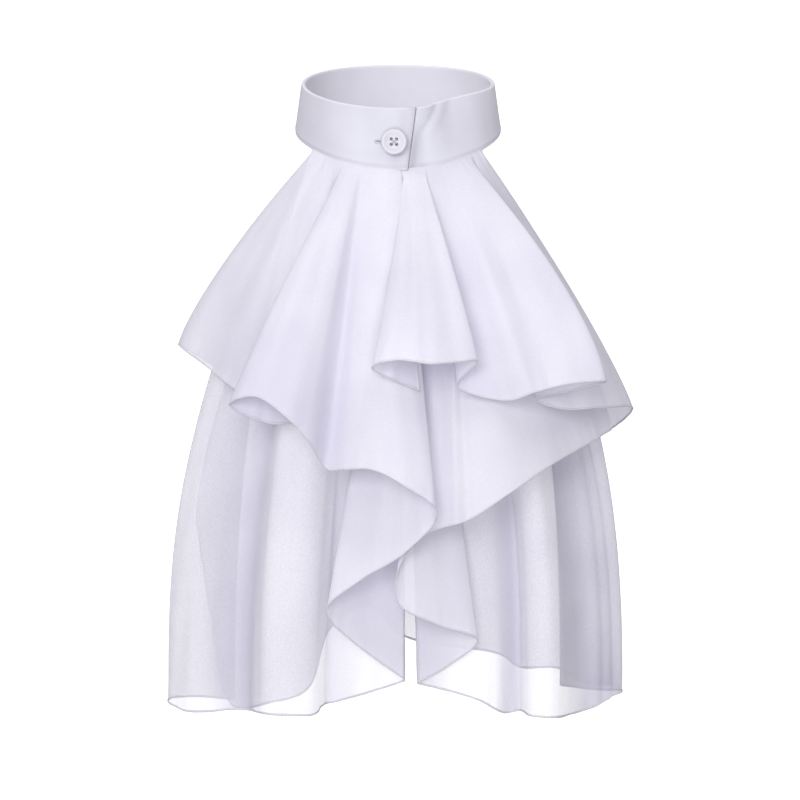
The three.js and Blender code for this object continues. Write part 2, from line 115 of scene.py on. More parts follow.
RIGHT_RUFFLE_HEM = [
    (0.050, 0.091, 0.900, 0.390, 0.75),
    (0.055, -0.012, 0.950, 0.371, 0.75),
    (0.060, -0.111, 1.010, 0.347, 0.75),
    (0.115, -0.012, 1.080, 0.332, 0.80),
    (0.170, 0.131, 1.090, 0.338, 0.90),
    (0.215, 0.263, 1.026, 0.335, 1.00),
    (0.250, 0.330, 0.965, 0.335, 1.10),
    (0.300, 0.244, 0.896, 0.381, 1.10),
    (0.360, 0.341, 0.852, 0.401, 1.10),
    (0.440, 0.465, 0.861, 0.408, 1.10),
    (0.530, 0.567, 0.922, 0.392, 1.15),
    (0.630, 0.710, 0.957, 0.376, 1.28),
    (0.730, 0.865, 0.896, 0.373, 1.40),
    (0.780, 0.724, 0.817, 0.392, 1.35),
    (0.815, 0.573, 0.783, 0.409, 1.25),
    (0.845, 0.688, 0.730, 0.427, 1.20),
    (0.885, 0.859, 0.557, 0.429, 1.15),
    (0.930, 1.013, 0.243, 0.439, 1.17),
    (0.940, 0.893, -0.052, 0.496, 1.50),
    (0.946, 0.720, -0.060, 0.520, 1.50),
]
RIGHT_CASCADE_HEM = [
    (0.050, 0.085, 0.591, 0.929, 1.00),
    (0.110, 0.216, 0.609, 0.897, 1.00),
    (0.180, 0.338, 0.670, 0.848, 1.00),
    (0.280, 0.164, 0.757, 0.815, 1.00),
    (0.400, 0.000, 0.826, 0.772, 1.00),
    (0.460, 0.013, 0.852, 0.700, 1.00),
    (0.500, 0.133, 0.878, 0.644, 1.00),
    (0.550, 0.291, 0.896, 0.621, 1.00),
    (0.620, 0.466, 0.861, 0.573, 1.05),
    (0.710, 0.637, 0.730, 0.529, 1.15),
    (0.810, 0.815, 0.504, 0.494, 1.25),
    (0.900, 0.918, 0.330, 0.475, 1.25),
]
LOWER_LEFT_HEM = [
    (-1.000, -0.718, -0.017, 0.997, 2.40),
    (-0.960, -0.870, 0.035, 0.988, 2.40),
    (-0.910, -1.001, 0.191, 0.984, 2.40),
    (-0.860, -0.917, 0.365, 0.995, 2.30),
    (-0.805, -0.797, 0.452, 0.991, 2.20),
    (-0.755, -0.722, 0.496, 0.985, 2.15),
    (-0.690, -0.652, 0.545, 0.983, 2.05),
    (-0.620, -0.572, 0.748, 0.977, 1.90),
    (-0.520, -0.454, 0.765, 0.978, 1.75),
    (-0.430, -0.362, 0.713, 0.981, 1.60),
    (-0.360, -0.318, 0.591, 0.972, 1.45),
    (-0.290, -0.273, 0.539, 0.969, 1.35),
    (-0.200, -0.183, 0.557, 0.957, 1.20),
    (-0.100, -0.068, 0.583, 0.941, 1.10),
    (0.030, 0.030, 0.574, 0.927, 1.00),
]
LOWER_RIGHT_HEM = [
    (0.070, 0.081, 0.557, 0.933, 1.00),
    (0.170, 0.242, 0.591, 0.948, 1.20),
    (0.250, 0.357, 0.583, 0.965, 1.45),
    (0.310, 0.412, 0.545, 0.981, 2.20),
    (0.360, 0.462, 0.485, 0.992, 2.50),
    (0.420, 0.518, 0.450, 0.989, 2.50),
    (0.480, 0.565, 0.590, 0.990, 2.45),
    (0.550, 0.649, 0.617, 0.992, 2.40),
    (0.615, 0.712, 0.522, 0.996, 2.40),
    (0.690, 0.791, 0.340, 0.999, 2.30),
    (0.770, 0.873, 0.245, 0.989, 2.40),
    (0.835, 0.940, 0.210, 0.977, 2.45),
    (0.885, 0.977, 0.125, 0.972, 2.50),
    (0.935, 0.851, 0.043, 0.974, 2.50),
    (0.985, 0.711, 0.017, 0.967, 2.50),
]
UNDER_HEM = [
    (-0.800, -0.876, 0.174, 0.648, 1.50),
    (-0.720, -0.810, 0.243, 0.822, 1.80),
    (-0.620, -0.716, 0.348, 0.986, 2.10),
    (-0.500, -0.550, 0.400, 0.978, 1.90),
    (-0.370, -0.387, 0.400, 0.952, 1.65),
    (-0.270, -0.287, 0.400, 0.838, 1.50),
    (-0.120, -0.129, 0.383, 0.799, 1.20),
    (0.020, 0.030, 0.383, 0.856, 1.00),
    (0.380, 0.438, 0.383, 0.889, 1.70),
    (0.460, 0.520, 0.383, 0.912, 1.80),
    (0.600, 0.688, 0.365, 0.916, 2.00),
    (0.700, 0.795, 0.296, 0.945, 2.15),
    (0.820, 0.930, 0.191, 0.956, 2.30),
]

# Soft creases: hem row, half width in rows, height in mm, start and end as shares of the way down.
LEFT_CREASES = [
    (10.4, 0.60, 0.8, 0.30, 1.10),
    (12.2, 0.60, 0.9, 0.40, 1.10),
    (8.8, 0.50, -1.4, 0.25, 1.10),
    (4.4, 0.60, 1.6, 0.30, 1.10),
    (3.0, 0.60, -1.4, 0.20, 0.90),
]
RIGHT_CREASES = [
    (10.6, 0.35, 1.3, 0.30, 1.10),
    (9.8, 0.30, -1.2, 0.25, 0.95),
    (3.6, 0.35, 1.0, 0.30, 1.10),
]
CASCADE_CREASES = [
    (7.0, 0.14, -1.3, 0.35, 1.10),
    (6.7, 0.14, 1.0, 0.35, 1.10),
    (6.2, 0.25, -1.4, 0.30, 1.10),
    (8.0, 0.35, 0.9, 0.30, 1.10),
]
LOWER_LEFT_CREASES = [
    (6.0, 0.8, -2.4, 0.25, 1.10),
    (8.2, 1.0, 2.2, 0.30, 1.10),
    (10.6, 0.4, -1.6, 0.30, 1.10),
]
LOWER_RIGHT_CREASES = [
    (6.6, 0.55, 1.8, 0.25, 1.10),
    (8.6, 0.60, -2.4, 0.25, 1.10),
    (9.8, 0.35, 1.6, 0.25, 1.00),
    (11.0, 0.50, -1.8, 0.35, 1.10),
]

# Painted shade in flutes, in folds and under the flounces above: hem row, half width in rows, strength,
# start as a share of the way down.
LEFT_SHADES = [(6.1, 0.8, 1.6, 0.80), (9.0, 2.0, 0.8, 0.75)]
LOWER_RIGHT_SHADES = [
    (10.2, 1.4, 0.30, 0.65),
    (4.2, 1.0, 0.35, 0.30),
    (12.4, 1.2, 0.30, 0.35),
    (10.4, 1.2, 1.60, 0.98),
]
LOWER_LEFT_SHADES = [(5.4, 1.3, 0.5, 0.35)]
UNDER_SHADES = [(2.4, 2.2, 0.25, 0.0), (10.6, 1.7, 0.3, 0.6)]
SHADES = {
    "left_ruffle": LEFT_SHADES,
    "lower_ruffle_left": LOWER_LEFT_SHADES,
    "lower_ruffle_right": LOWER_RIGHT_SHADES,
    "under_ruffle": UNDER_SHADES,
}

# Each ruffle: name, hem, creases, layer, columns a span, rows down, height of its soft waves in mm.
RUFFLES = [
    ("left_ruffle", LEFT_RUFFLE_HEM, LEFT_CREASES, 0, 18, 90, 0.9),
    ("right_ruffle", RIGHT_RUFFLE_HEM, RIGHT_CREASES, 0, 18, 80, 0.9),
    ("right_cascade", RIGHT_CASCADE_HEM, CASCADE_CREASES, 1, 24, 110, 0.4),
    ("lower_ruffle_left", LOWER_LEFT_HEM, LOWER_LEFT_CREASES, 1, 22, 120, 1.3),
    ("lower_ruffle_right", LOWER_RIGHT_HEM, LOWER_RIGHT_CREASES, 2, 22, 120, 1.0),
    ("under_ruffle", UNDER_HEM, [], 3, 16, 90, 1.0),
]
# The side edge of a ruffle that has a full hem, at the front slit. The other side edges are thin selvedges.
FRONT_EDGES = {
    "left_ruffle": "last",
    "right_ruffle": "first",
    "right_cascade": "first",
    "lower_ruffle_left": "last",
    "lower_ruffle_right": "first",
}
SHEER = ("lower_ruffle_left", "lower_ruffle_right", "under_ruffle")

# Small shapes of the ruffles. Waves are given by their lengths in millimetres.
ROWS_POWER = 1.2
BODY_WAVES = (17, 23, 31, 44)
HEM_WAVES = (7.5, 10, 14)
GATHER_WAVES = (2.6, 3.4, 4.6)
HEM_WAVE_SHARE = 0.5
HEM_WAVE_MOST = 0.45
HEM_WAVE_REACH = 22
GATHER_HEIGHT = 0.12
EDGE_CALM = 12
EDGE_SHARE = 0.25
# Painted shade in the folds: the width over which the cloth is evened out to find folds, the depth that
# gets full shade, and the most shade.
FOLD_RANGE = 26.0
FOLD_FULL = 9.0
PAINTED_SHADE_MOST = 1.6

# Rolled hems.
HEM_WIDTH = 1.3
HEM_THICKNESS = 0.8
HEM_SIDES = 8
HEM_INSIDE = 0.42
SELVEDGE = 0.4
SIDE_EDGE_FIRST_ROW = 6

# Small shapes of the neckband.
BAND_STEPS = 400
FACE_STEPS = 26
EDGE_STEPS = 10
BAND_WAVES = (23, 37, 60)
BAND_SEED = 71
RIM_STITCH = 2.4
CREASE_SLANT = 29
LINING_RELIEF = 0.35
BUTTON_DENT = 0.25
LAP_EDGE_STEPS = 24
LAP_EDGE_SHARE = 0.008
LAP_EDGE_ROUND = 3.6
LAP_EDGE_THINNED = 0.85
LAP_PRESSED = 1.9
LAP_PRESSED_REACH = 14
LAP_CLOSED_REACH = 9
LAP_OVERLAP = 0.1

# Buttonhole. Its stitches are moved to the viewer's left, so that their end shows beside the button.
BUTTONHOLE_SHIFT = 3.2
BUTTONHOLE_HALF_LENGTH = 8.6
BUTTONHOLE_HALF_HEIGHT = 0.95
BUTTONHOLE_STITCHES = 220
STITCH_SIDES = 8

# Small shapes of the button and its thread.
BUTTON_EDGE_ROUND = 0.95
BUTTON_EDGE_STEPS = 16
BUTTON_SIDES = 96
HOLE_SIDES = 28
HOLE_FLARE = 0.3
THREAD_ACROSS = 0.24
THREAD_SIDES = 8
STRAND_OFFSET = 0.15
SHANK_THREAD_ACROSS = 0.36
SHANK_HALF_WIDTH = 0.95
SHANK_HALF_HEIGHT = 0.42
SHANK_TURNS = 9
SHANK_TURN_STEPS = 14

# Stage and camera, in metres.
METRE = 1000
FLOOR = -0.62
STAGE_FRONT = -3.2
STAGE_BACK = 2.2
STAGE_BEND = 1.2
STAGE_TOP = 3.2
STAGE_HALF_WIDTH = 4.5
STAGE_BEND_STEPS = 16
DISTANCE = 1.9
ELEVATION = math.radians(4)
TARGET = Vector((0.00115, -0.050, -0.165))
FRAME_WIDTH = 0.46
SENSOR_WIDTH = 36


def mix(a, b, share):
    return a + (b - a) * share


def smooth(start, end, value):
    share = np.clip((value - start) / (end - start), 0, 1)
    return share * share * (3 - 2 * share)


def bell(value, middle, half):
    """A soft bump: 1 in the middle and about a third at half to each side."""
    return np.exp(-(((value - middle) / half) ** 2))


def unit(v):
    return v / np.maximum(np.linalg.norm(v, axis=-1, keepdims=True), 1e-9)


def band_top(angle):
    forward = np.cos(np.radians(angle))
    return RIM_HEIGHT - RIM_TILT * forward - RIM_ARCH * forward * forward


def band_height(angle):
    return BAND_HEIGHT_BACK + BAND_HEIGHT_EXTRA_FRONT * np.maximum(0, np.cos(np.radians(angle))) ** 2


def band_place(angle, up, depth):
    """A place on the neckband: up is a share of its height, depth goes in from the outer face."""
    width = mix(BOTTOM_HALF_WIDTH, TOP_HALF_WIDTH, up) - depth
    length = mix(BOTTOM_HALF_LENGTH, TOP_HALF_LENGTH, up) - depth
    bottom = band_top(angle) - band_height(angle)
    x = width * np.sin(np.radians(angle))
    y = -length * np.cos(np.radians(angle))
    return np.stack(np.broadcast_arrays(x, y, bottom + up * band_height(angle)), axis=-1)


def layer_inset(angle):
    """How far in the layer under the lap lies, in millimetres. It comes out again round the side."""
    return (BAND_WALL + LAP_GAP) * (1 - smooth(INSET_FROM_ANGLE, INSET_TO_ANGLE, angle))


def rim_pull(angle, up):
    """The share by which the band beside the lap is drawn in and up, the most at its rim."""
    rise = smooth(PULL_FROM_ANGLE, PULL_MOST_ANGLE, angle)
    return up * (rise * (1 - smooth(PULL_MOST_ANGLE, PULL_TO_ANGLE, angle)))


def seam_place(share, layer):
    """A place on the seam. Towards the lap's end it moves in to the layer under the lap."""
    angle = share * SEAM_HALF_ANGLE
    inset = layer_inset(angle) * smooth(SEAM_INSET_FROM, SEAM_INSET_TO, angle)
    place = band_place(angle, 0.0, FIRST_LAYER_DEPTH + layer * LAYER_PITCH + inset)
    place[..., 2] += SEAM_TUCK
    return place


SEAM_FRONT = float(band_top(0.0) - band_height(0.0)) - SEAM_GAP


def along_hem(rows, per_span):
    """Values along the hem: a smooth curve through the rows, with equal steps of its own in each span."""
    table = np.array(rows)
    table = np.vstack([2 * table[0] - table[1], table, 2 * table[-1] - table[-2]])
    sizes = np.array([SPREAD, REACH, FULL_DROP])
    steps = np.sqrt(np.linalg.norm(np.diff(table[:, 1:4] * sizes, axis=0), axis=1))
    found = []
    for span in range(len(rows) - 1):
        p0, p1, p2, p3 = table[span : span + 4]
        t1 = steps[span]
        t2 = t1 + steps[span + 1]
        t3 = t2 + steps[span + 2]
        last = span == len(rows) - 2
        for i in range(per_span + (1 if last else 0)):
            t = mix(t1, t2, i / per_span)
            a1 = mix(p0, p1, t / t1)
            a2 = mix(p1, p2, (t - t1) / (t2 - t1))
            a3 = mix(p2, p3, (t - t2) / (t3 - t2))
            b1 = mix(a1, a2, t / t2)
            b2 = mix(a2, a3, (t - t1) / (t3 - t1))
            found.append(mix(b1, b2, (t - t1) / (t2 - t1)))
    return np.array(found)


def swing(share, bulge):
    """How far a column has gone from seam to hem. Above 1 the bulge takes it out early, below 1 late."""
    early = 1 - (1 - share) ** bulge
    late = share ** (1 / bulge)
    return np.where(bulge >= 1, early, late)


def grid_normals(grid):
    side = np.gradient(grid, axis=0)
    down = np.gradient(grid, axis=1)
    return unit(np.cross(down, side))


def lengths_along(grid, axis):
    """Distance from the grid's first line along one axis, in millimetres."""
    step = np.linalg.norm(np.diff(grid, axis=axis), axis=-1)
    start = np.zeros_like(np.take(step, [0], axis=axis))
    return np.concatenate([start, np.cumsum(step, axis=axis)], axis=axis)


def path_lengths(path):
    return lengths_along(path[:, None, :], 0)[:, 0]


def fold_depth(grid):
    """How deep each place lies in a fold, in millimetres: 0 on ridges and flat cloth."""
    u = lengths_along(grid, 0)
    u = u[:, u.shape[1] * 3 // 4]
    near = bell(u[:, None], u[None, :], FOLD_RANGE)
    near /= near.sum(axis=1, keepdims=True)
    even = np.einsum("ik,kjc->ijc", near, grid)
    outward = unit(even * np.array([1, 1, 0]) + np.array([0, -30, 0]))
    return np.maximum(0, -np.sum((grid - even) * outward, axis=-1))


def painted_fold_shade(grid, per_span, shades):
    """How strongly shade is painted on each place, from how deep it lies in a fold and from the table of
    shades.
    """
    tone = np.clip(fold_depth(grid) / FOLD_FULL, 0, 1)
    row = np.arange(grid.shape[0])[:, None] / per_span
    share = np.linspace(0, 1, grid.shape[1])[None, :]
    for place, half, strength, start in shades:
        across = np.exp(-(((row - place) / half) ** 4))
        tone += strength * across * smooth(start - 0.15, start + 0.15, share)
    return np.clip(tone, 0, PAINTED_SHADE_MOST)


def waves(across, down, seed, wavelengths, lean=0.15):
    """A sum of soft waves that run down the cloth, with crests that wander."""
    rng = np.random.default_rng(seed)
    total = np.zeros_like(across)
    for length in wavelengths:
        phase = rng.uniform(0, 2 * math.pi)
        wander = rng.uniform(0.5, 1.0) * np.sin(down / rng.uniform(28, 60) + rng.uniform(0, 6.3))
        slope = rng.uniform(-lean, lean)
        strength = 0.5 + 0.5 * np.sin(across / rng.uniform(22, 50) + rng.uniform(0, 6.3))
        total += strength * np.sin(2 * math.pi * (across + slope * down) / length + wander + phase)
    return total / len(wavelengths)


def plain_grid(values, layer, share):
    """A ruffle without its small shapes: each column swings out and forwards from the seam to the hem."""
    seam, across, forward, drop, bulge = (values[:, [i]] for i in range(5))
    top = seam_place(seam[:, 0], layer)[:, None, :]
    foot = np.stack([across * SPREAD, -forward * REACH, SEAM_FRONT - drop * FULL_DROP], axis=-1)
    out = swing(share, bulge)
    lead = swing(share, bulge * FORWARD_LEAD)
    x = mix(top[..., 0], foot[..., 0], out)
    y = mix(top[..., 1], foot[..., 1], lead)
    z = mix(top[..., 2], foot[..., 2], share + 0 * out)
    return np.stack([x, y, z], axis=-1)


def soft_waves(hem_u, v, share, wave, seed):
    """Soft waves that grow towards the hem, and a fine wobble at the hem itself."""
    body = smooth(0.08, 0.6, share) * (0.65 + 0.35 * smooth(0.6, 1.0, share))
    bump = wave * body * waves(hem_u, v, seed, BODY_WAVES)
    height = min(HEM_WAVE_MOST, HEM_WAVE_SHARE * wave)
    near_hem = smooth(HEM_WAVE_REACH, 0, v[:, [-1]] - v)
    return bump + height * near_hem * waves(hem_u, v, seed + 1, HEM_WAVES)


def gathers(seam, v, seed):
    """Small gathers where the ruffle is sewn to the band."""
    seam_u = np.broadcast_to(seam * SEAM_HALF_ANGLE * BOTTOM_HALF_LENGTH * math.pi / 180, v.shape)
    gather = smooth(0.5, 4, v) * smooth(26, 5, v)
    return GATHER_HEIGHT * gather * waves(seam_u, v, seed, GATHER_WAVES, lean=0.03)


def ruffle_grid(hem, creases, layer, per_span, down, wave, seed):
    """Places of a ruffle, with each place's distance along the hem and down from the seam."""
    values = along_hem(hem, per_span)
    share = (np.arange(down + 1) / down)[None, :] ** ROWS_POWER
    grid = plain_grid(values, layer, share)
    u = lengths_along(grid, 0)
    v = lengths_along(grid, 1)
    hem_u = np.broadcast_to(u[:, [-1]], u.shape)
    to_edge = np.minimum(hem_u, hem_u[-1:] - hem_u)
    bump = soft_waves(hem_u, v, share, wave, seed)
    bump += gathers(values[:, [0]], v, seed + 2)
    row = np.arange(len(values))[:, None] / per_span
    for place, half, height, start, end in creases:
        ridge = height * bell(row, place, half)
        bump += ridge * smooth(start - 0.2, start + 0.25, share) * smooth(end + 0.2, end - 0.1, share)
    bump *= EDGE_SHARE + (1 - EDGE_SHARE) * smooth(0, EDGE_CALM, to_edge)
    return grid + grid_normals(grid) * bump[..., None], hem_u, v


def mesh_object(name, places, faces, uvs=None):
    mesh = bpy.data.meshes.new(name)
    mesh.from_pydata([tuple(p) for p in np.asarray(places) * MM], [], [tuple(f) for f in faces])
    mesh.polygons.foreach_set("use_smooth", [True] * len(mesh.polygons))
    if uvs is not None:
        layer = mesh.uv_layers.new(name="cloth")
        loops = np.zeros(len(mesh.loops), dtype=np.int32)
        mesh.loops.foreach_get("vertex_index", loops)
        layer.data.foreach_set("uv", np.asarray(uvs, dtype=np.float32)[loops].ravel())
    mesh.update()
    made = bpy.data.objects.new(name, mesh)
    bpy.context.scene.collection.objects.link(made)
    return made


def joined_object(name, parts):
    """One object from parts that each have places, faces and cloth coordinates."""
    places, faces, uvs = [], [], []
    count = 0
    for part_places, part_faces, part_uvs in parts:
        places.append(part_places)
        faces += [tuple(k + count for k in face) for face in part_faces]
        uvs.append(part_uvs)
        count += len(part_places)
    return mesh_object(name, np.vstack(places), faces, np.vstack(uvs))


# The painted shade of each place, kept in the attribute fold that the materials read.
def store_painted_shade(made, tone):
    folds = made.data.attributes.new("fold", "FLOAT", "POINT")
    folds.data.foreach_set("value", tone.astype(np.float32).ravel())


def grid_faces(wide, tall):
    faces = []
    for i in range(wide - 1):
        a = i * tall
        b = a + tall
        faces += [(a + j, a + j + 1, b + j + 1, b + j) for j in range(tall - 1)]
    return faces


def end_faces(steps, count):
    """The faces that close both ends of a row of rings."""
    last = (steps - 1) * count
    return [tuple(range(count)), tuple(last + j for j in reversed(range(count)))]


def sheet_object(name, grid, u, v, tone):
    wide, tall = grid.shape[:2]
    uvs = np.stack([u, v], axis=-1).reshape(-1, 2) * MM
    made = mesh_object(name, grid.reshape(-1, 3), grid_faces(wide, tall), uvs)
    store_painted_shade(made, tone)
    return made


def sweep(path, side, up, section, closed=False):
    """Places and faces of a section swept along a path. Side and up are its directions at each point."""
    count = len(section)
    across = side[:, None, :] * section[None, :, [0]]
    ring = path[:, None, :] + across + up[:, None, :] * section[None, :, [1]]
    faces = []
    steps = len(path)
    for i in range(steps if closed else steps - 1):
        a = i * count
        b = ((i + 1) % steps) * count
        faces += [(a + j, a + (j + 1) % count, b + (j + 1) % count, b + j) for j in range(count)]
    if not closed:
        faces += end_faces(steps, count)
    return ring.reshape(-1, 3), faces


def sweep_uvs(along, sides, girth):
    """Cloth coordinates of a swept section: along its path, and round it."""
    around = np.tile(np.arange(sides) / sides * girth, len(along))
    return np.stack([np.repeat(along, sides), around], axis=-1) * MM


def oval(width, height, sides):
    turn = np.arange(sides) / sides * 2 * math.pi
    return np.stack([np.cos(turn) * width / 2, np.sin(turn) * height / 2], axis=-1)


def hem_object(name, grid, front, seed):
    """A flat roll along the bottom and the front edge of a ruffle, and a thin one along its other sides."""
    normal = grid_normals(grid)
    rng = np.random.default_rng(seed)
    start = SIDE_EDGE_FIRST_ROW
    first_size = 1.0 if front == "first" else SELVEDGE
    last_size = 1.0 if front == "last" else SELVEDGE
    edges = [
        (grid[0, start:], normal[0, start:], grid[0, start:] - grid[1, start:], first_size),
        (grid[:, -1], normal[:, -1], grid[:, -1] - grid[:, -2], 1.0),
        (grid[-1, start:], normal[-1, start:], grid[-1, start:] - grid[-2, start:], last_size),
    ]
    parts = []
    for path, up, out, size in edges:
        along = path_lengths(path)
        wobble = 1 + 0.10 * np.sin(along / 5.3 + rng.uniform(0, 6))
        wobble += 0.06 * np.sin(along / 2.1 + rng.uniform(0, 6))
        side = unit(out - up * np.sum(out * up, axis=-1, keepdims=True))
        centre = path - side * HEM_WIDTH * size * HEM_INSIDE
        section = oval(HEM_WIDTH * size, HEM_THICKNESS * size, HEM_SIDES)
        places, faces = sweep(centre, side * wobble[:, None], up * wobble[:, None], section)
        parts.append((places, faces, sweep_uvs(along, HEM_SIDES, HEM_WIDTH * 2)))
    return joined_object(name, parts)


# Materials

def new_material(name):
    material = bpy.data.materials.new(name)
    material.use_nodes = True
    tree = material.node_tree
    tree.nodes.clear()
    return material, tree


def node(tree, kind, **values):
    made = tree.nodes.new(kind)
    for key, value in values.items():
        if key in made.inputs:
            made.inputs[key].default_value = value
        else:
            setattr(made, key, value)
    return made


def link(tree, source, output, target, socket):
    tree.links.new(source.outputs[output], target.inputs[socket])


def ramp(tree, source, output, low, high, dark, light):
    """A map of an output from low..high to dark..light."""
    made = node(tree, "ShaderNodeMapRange")
    for i, value in enumerate((low, high, dark, light)):
        made.inputs[i + 1].default_value = value
    link(tree, source, output, made, 0)
    return made


def noise(tree, **values):
    """Noise in the object's own coordinates."""
    place = node(tree, "ShaderNodeTexCoord")
    made = node(tree, "ShaderNodeTexNoise", **values)
    link(tree, place, "Object", made, "Vector")
    return made


def slanted_wave(tree, degrees, **values):
    """Slanting stripes in the cloth's coordinates, for stitches and twisted thread."""
    uv = node(tree, "ShaderNodeUVMap", uv_map="cloth")
    made = node(tree, "ShaderNodeTexWave", **values)
    turned = node(tree, "ShaderNodeMapping")
    turned.inputs["Rotation"].default_value = (0, 0, math.radians(degrees))
    link(tree, uv, 0, turned, 0)
    link(tree, turned, 0, made, "Vector")
    return made


def two_tones(tree, source, output, dark, light):
    """A colour from dark to light by the value of an output."""
    made = node(tree, "ShaderNodeMix", data_type="RGBA")
    made.inputs["A"].default_value = (*dark, 1)
    made.inputs["B"].default_value = (*light, 1)
    link(tree, source, output, made, "Factor")
    return made


def tinted(tree, colour, source, output, tint, blend):
    """A colour changed towards, or multiplied by, a tint by the value of an output."""
    made = node(tree, "ShaderNodeMix", data_type="RGBA", blend_type=blend)
    made.inputs["B"].default_value = (*tint, 1)
    link(tree, source, output, made, "Factor")
    link(tree, colour, "Result", made, "A")
    return made


def relief(tree, source, output, strength, distance):
    made = node(tree, "ShaderNodeBump", Strength=strength, Distance=distance)
    link(tree, source, output, made, "Height")
    return made


def principled(tree, colour, bump, **values):
    made = node(tree, "ShaderNodeBsdfPrincipled", **values)
    link(tree, colour, "Result", made, "Base Color")
    if bump is not None:
        link(tree, bump, 0, made, "Normal")
    return made


def light_through(tree, cloth, colour, share):
    """Cloth that lets a share of the light from behind it through."""
    through = node(tree, "ShaderNodeBsdfTranslucent")
    link(tree, colour, "Result", through, "Color")
    lit = node(tree, "ShaderNodeMixShader", Fac=share)
    link(tree, cloth, 0, lit, 1)
    link(tree, through, 0, lit, 2)
    return lit


def finish_material(tree, shader):
    out = node(tree, "ShaderNodeOutputMaterial")
    link(tree, shader, 0, out, "Surface")


def weave_height(tree, pitch):
    """Plain weave: one wave each way, multiplied. Gives a value from -1 to 1."""
    uv = node(tree, "ShaderNodeUVMap", uv_map="cloth")
    split = node(tree, "ShaderNodeSeparateXYZ")
    link(tree, uv, 0, split, 0)
    both = node(tree, "ShaderNodeMath", operation="MULTIPLY")
    for i, axis in enumerate(("X", "Y")):
        scale = node(tree, "ShaderNodeMath", operation="MULTIPLY")
        scale.inputs[1].default_value = 2 * math.pi / (pitch * MM)
        link(tree, split, axis, scale, 0)
        wave = node(tree, "ShaderNodeMath", operation="SINE")
        link(tree, scale, 0, wave, 0)
        link(tree, wave, 0, both, i)
    return both


def added_weave(tree, pitch, share, grain):
    """The height of the weave, by a share, on top of the grain's."""
    height = node(tree, "ShaderNodeMath", operation="MULTIPLY_ADD")
    height.inputs[1].default_value = share
    link(tree, weave_height(tree, pitch), 0, height, 0)
    link(tree, grain, "Fac", height, 2)
    return height


def gaps_in_cloth(tree, crepe, fold, see_through, speckle):
    """The share that is seen through: uneven like the crepe, and less where shade is painted in the folds.
    """
    holes = ramp(tree, crepe, "Fac", 0.3, 0.7, see_through * (1 + speckle), see_through * (1 - speckle))
    close = ramp(tree, fold, "Fac", 0.0, 1.0, 1.0, 0.4)
    made = node(tree, "ShaderNodeMath", operation="MULTIPLY")
    link(tree, holes, 0, made, 0)
    link(tree, close, 0, made, 1)
    return made


def chiffon_material(name, see_through, speckle, tone, fold_shade_tint):
    """Sheer crepe: a clouded lavender white, greyer in the crepe's pits, with painted shade in the folds.
    """
    material, tree = new_material(name)
    crepe = noise(tree, Scale=900.0, Detail=1.0, Roughness=0.6)
    cloud = noise(tree, Scale=26.0, Detail=1.0, Roughness=0.55)
    fold = node(tree, "ShaderNodeAttribute", attribute_name="fold")
    shade = ramp(tree, cloud, "Fac", 0.3, 0.7, 0.0, 1.0)
    colour = two_tones(tree, shade, 0, (tone[0] * 0.93, tone[1] * 0.93, tone[2] * 0.95), tone)
    grain = ramp(tree, crepe, "Fac", 0.35, 0.75, 0.9, 0.0)
    colour = tinted(tree, colour, grain, 0, (0.98, 0.98, 0.985), "MULTIPLY")
    # Painted shade: the fold attribute darkens the cloth towards the shade tint.
    colour = tinted(tree, colour, fold, "Fac", fold_shade_tint, "MULTIPLY")
    bump = relief(tree, added_weave(tree, 0.9, 0.35, crepe), 0, 0.05, 0.0003)
    cloth = principled(tree, colour, bump, Roughness=0.85)
    cloth.inputs["Sheen Weight"].default_value = 0.04
    cloth.inputs["Sheen Roughness"].default_value = 0.5
    cloth.inputs["Specular IOR Level"].default_value = 0.15
    whole = node(tree, "ShaderNodeMixShader")
    link(tree, gaps_in_cloth(tree, crepe, fold, see_through, speckle), 0, whole, "Fac")
    link(tree, light_through(tree, cloth, colour, 0.15), 0, whole, 1)
    link(tree, node(tree, "ShaderNodeBsdfTransparent"), 0, whole, 2)
    finish_material(tree, whole)
    return material


def hem_material():
    """Dense rolled cloth, with the small slanted stitches that hold the roll."""
    material, tree = new_material("rolled_hem")
    stitch = slanted_wave(tree, 28, Scale=190.0, Distortion=1.2, Detail=1.0)
    colour = two_tones(tree, stitch, "Fac", (0.77, 0.76, 0.83), (0.83, 0.82, 0.88))
    bump = relief(tree, stitch, "Fac", 0.2, 0.0003)
    cloth = principled(tree, colour, bump, Roughness=0.8)
    cloth.inputs["Sheen Weight"].default_value = 0.2
    cloth.inputs["Specular IOR Level"].default_value = 0.2
    finish_material(tree, light_through(tree, cloth, colour, 0.2))
    return material


def slub_noise(tree):
    """The uneven threads of the band's cloth, drawn out along it."""
    uv = node(tree, "ShaderNodeUVMap", uv_map="cloth")
    slub = node(tree, "ShaderNodeTexNoise", Scale=1500.0, Detail=2.0, Roughness=0.6)
    stretch = node(tree, "ShaderNodeMapping")
    stretch.inputs["Scale"].default_value = (0.25, 1, 1)
    link(tree, uv, 0, stretch, 0)
    link(tree, stretch, 0, slub, "Vector")
    return slub


def band_material(name, dark, light):
    """Smooth close-woven cloth over an interlining."""
    material, tree = new_material(name)
    cloud = noise(tree, Scale=38.0, Detail=2.0, Roughness=0.5)
    slub = slub_noise(tree)
    fold = node(tree, "ShaderNodeAttribute", attribute_name="fold")
    colour = two_tones(tree, ramp(tree, cloud, "Fac", 0.3, 0.7, 0.0, 1.0), 0, dark, light)
    # Painted shade: the fold attribute darkens the band beside the lap's corner and along the seam.
    colour = tinted(tree, colour, fold, "Fac", (0.40, 0.38, 0.47), "MIX")
    bump = relief(tree, added_weave(tree, 0.55, 0.5, slub), 0, 0.18, 0.0002)
    cloth = principled(tree, colour, bump)
    cloth.inputs["Sheen Weight"].default_value = 0.05
    cloth.inputs["Specular IOR Level"].default_value = 0.3
    link(tree, ramp(tree, slub, "Fac", 0.3, 0.7, 0.55, 0.7), 0, cloth, "Roughness")
    finish_material(tree, cloth)
    return material


